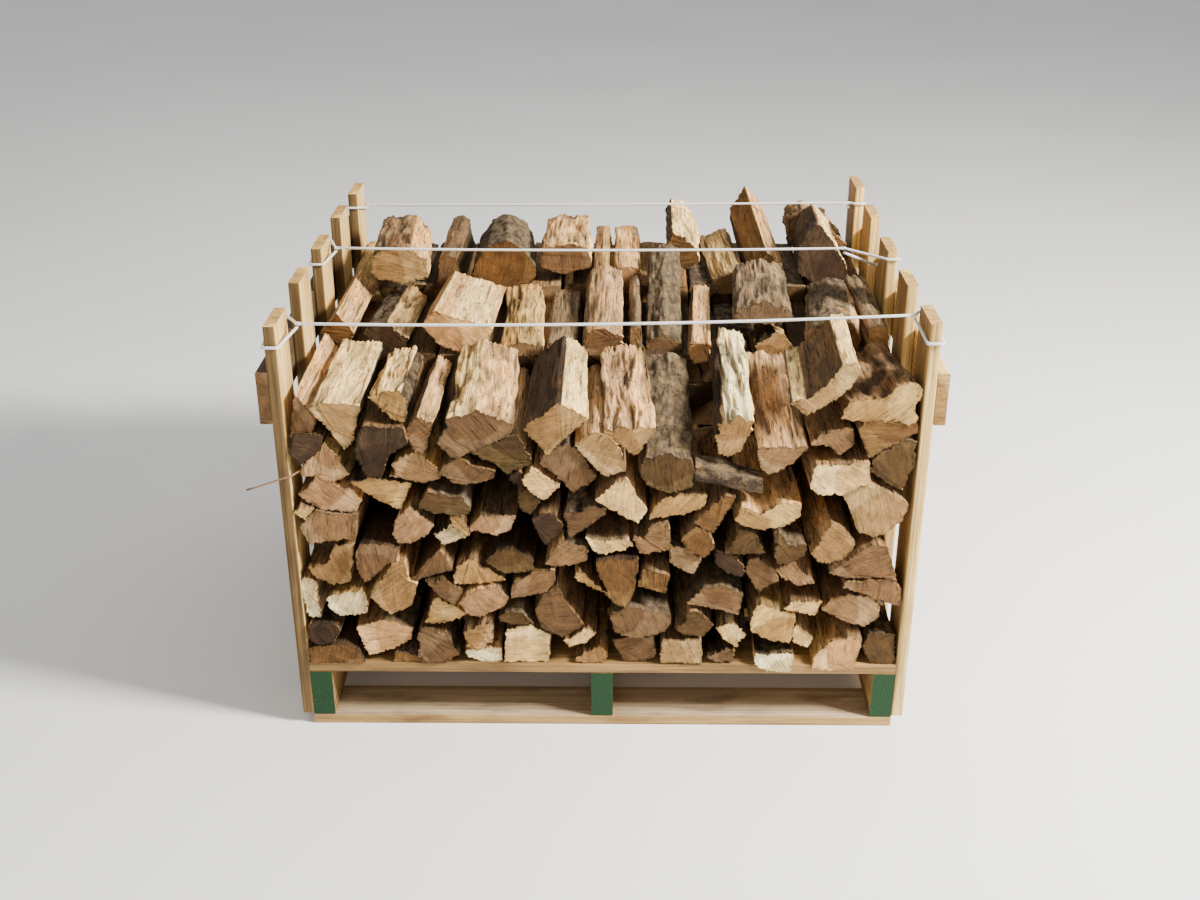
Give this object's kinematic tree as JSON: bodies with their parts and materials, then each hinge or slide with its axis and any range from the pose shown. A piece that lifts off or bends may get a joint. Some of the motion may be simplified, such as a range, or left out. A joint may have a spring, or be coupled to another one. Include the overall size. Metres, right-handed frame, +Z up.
{
  "type": "pallet rack of split firewood",
  "caption": "Split hardwood stacked in rows on a stringer pallet, held between nailed side posts with a rail along each side and twine ties across the top",
  "frame": {"origin": "on the ground under the centre of the whole object", "axes": "+X to the right seen from the front, along the deck boards; +Y to the back, along the stringers; +Z up"},
  "size_m": [1.0932, 0.8924, 0.755],
  "materials": {
    "pine": "sawn pale pine, fine straight grain, a little shaded and dirty",
    "weathered_pine": "rough sawn pine gone brown and grey",
    "stringer_pine": "sawn pine with the front ends painted matt green",
    "stacked_splits": "split hardwood ends and sides, tan to brown, with dark bark",
    "loose_splits": "split hardwood, fibrous pink to yellow cleft faces, sawn ends and grey-brown bark",
    "twine": "white plastic twine, slightly shiny"
  },
  "bodies": {
    "root": {"bottom_board_1": "weathered_pine", "bottom_board_2": "weathered_pine", "bottom_board_3": "weathered_pine", "deck_board_1": "pine", "deck_board_2": "pine", "deck_board_3": "pine", "deck_board_4": "pine", "deck_board_5": "pine", "post_left_1": "pine", "post_left_2": "pine", "post_left_3": "pine", "post_left_4": "pine", "post_left_5": "pine", "post_right_1": "pine", "post_right_2": "pine", "post_right_3": "pine", "post_right_4": "pine", "post_right_5": "pine", "rail_left": "weathered_pine", "rail_right": "pine", "split_back_1": "loose_splits", "split_back_2": "loose_splits", "split_back_3": "loose_splits", "split_back_4": "loose_splits", "split_back_5": "loose_splits", "split_back_6": "loose_splits", "split_back_7": "loose_splits", "split_back_8": "loose_splits", "split_front_1": "loose_splits", "split_front_10": "loose_splits", "split_front_11": "loose_splits", "split_front_12": "loose_splits", "split_front_2": "loose_splits", "split_front_3": "loose_splits", "split_front_4": "loose_splits", "split_front_5": "loose_splits", "split_front_6": "loose_splits", "split_front_7": "loose_splits", "split_front_8": "loose_splits", "split_front_8_branch": "loose_splits", "split_front_9": "loose_splits", "split_middle_1": "loose_splits", "split_middle_10": "loose_splits", "split_middle_2": "loose_splits", "split_middle_3": "loose_splits", "split_middle_4": "loose_splits", "split_middle_5": "loose_splits", "split_middle_6": "loose_splits", "split_middle_7": "loose_splits", "split_middle_8": "loose_splits", "split_middle_9": "loose_splits", "stack_back": "stacked_splits", "stack_front": "stacked_splits", "stack_middle": "stacked_splits", "stringer_left": "stringer_pine", "stringer_middle": "stringer_pine", "stringer_right": "stringer_pine", "tie_back": "twine", "tie_front": "twine", "tie_middle": "twine"}
  },
  "joints": []
}
